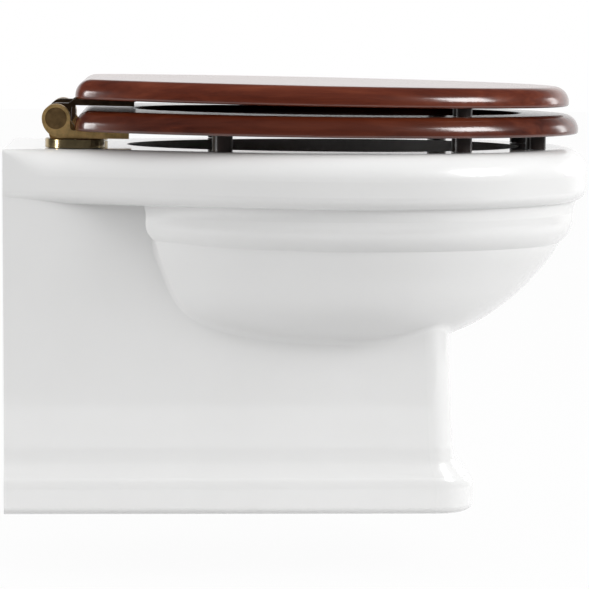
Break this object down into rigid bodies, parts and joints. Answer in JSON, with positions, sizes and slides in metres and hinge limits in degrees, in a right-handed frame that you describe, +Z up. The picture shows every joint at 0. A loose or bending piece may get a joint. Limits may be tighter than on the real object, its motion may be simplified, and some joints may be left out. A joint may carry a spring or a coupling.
{
  "type": "wall_hung_toilet",
  "caption": "Wall hung toilet: a white glazed ceramic pan with a moulded rim and plinth, and a dark polished wooden seat and lid on antique brass hinges",
  "frame": {"origin": "midway between the two wall bolt holes, on the face of the pan that meets the wall", "axes": "+X away from the wall towards the front of the bowl, +Y to the left of someone facing away from the wall, +Z up"},
  "size_m": [0.5524, 0.366, 0.4025],
  "materials": {
    "china": "gloss white glaze",
    "seat_wood": "mahogany, gloss lacquer",
    "lid_wood": "mahogany, gloss lacquer",
    "brass": "antique brass",
    "brass_screws": "plain brass",
    "steel": "zinc plated",
    "nylon": "moulded nylon",
    "buffer": "dark brown rubber",
    "seal": "black rubber"
  },
  "bodies": {
    "pan": {"pan_body": "china", "wall_fixing_sleeves": "nylon", "wall_fixing_washers": "steel", "wall_fixing_nuts": "steel", "flush_inlet_seal": "seal", "hinge_rosette_left": "brass", "hinge_rosette_right": "brass", "rosette_gaskets": "seal", "hinge_post_left": "brass", "hinge_post_right": "brass", "hinge_studs": "steel", "hinge_hole_bushes": "seal", "hinge_washers": "nylon", "hinge_wing_nuts": "nylon", "hinge_pins": "steel", "hinge_grub_screws": "steel"},
    "seat": {"seat_ring": "seat_wood", "seat_leaf_left": "brass", "seat_leaf_right": "brass", "seat_leaf_screws": "brass_screws", "seat_buffers": "buffer", "seat_buffer_screws": "brass_screws", "seat_leaf_bushes": "nylon", "pin_caps": "brass"},
    "lid": {"lid_panel": "lid_wood", "lid_leaf_left": "brass", "lid_leaf_right": "brass", "lid_leaf_screws": "brass_screws", "lid_buffers": "buffer", "lid_buffer_screws": "brass_screws", "lid_leaf_bushes": "nylon"}
  },
  "joints": [
    {"name": "seat_raise", "type": "hinge", "parent": "pan", "child": "seat", "pos_m": [0.048, 0, 0.1059], "axis": [0, -1, 0], "range_deg": [0, 78]},
    {"name": "lid_open", "type": "hinge", "parent": "seat", "child": "lid", "pos_m": [0.048, 0, 0.1059], "axis": [0, -1, 0], "range_deg": [0, 86]}
  ]
}
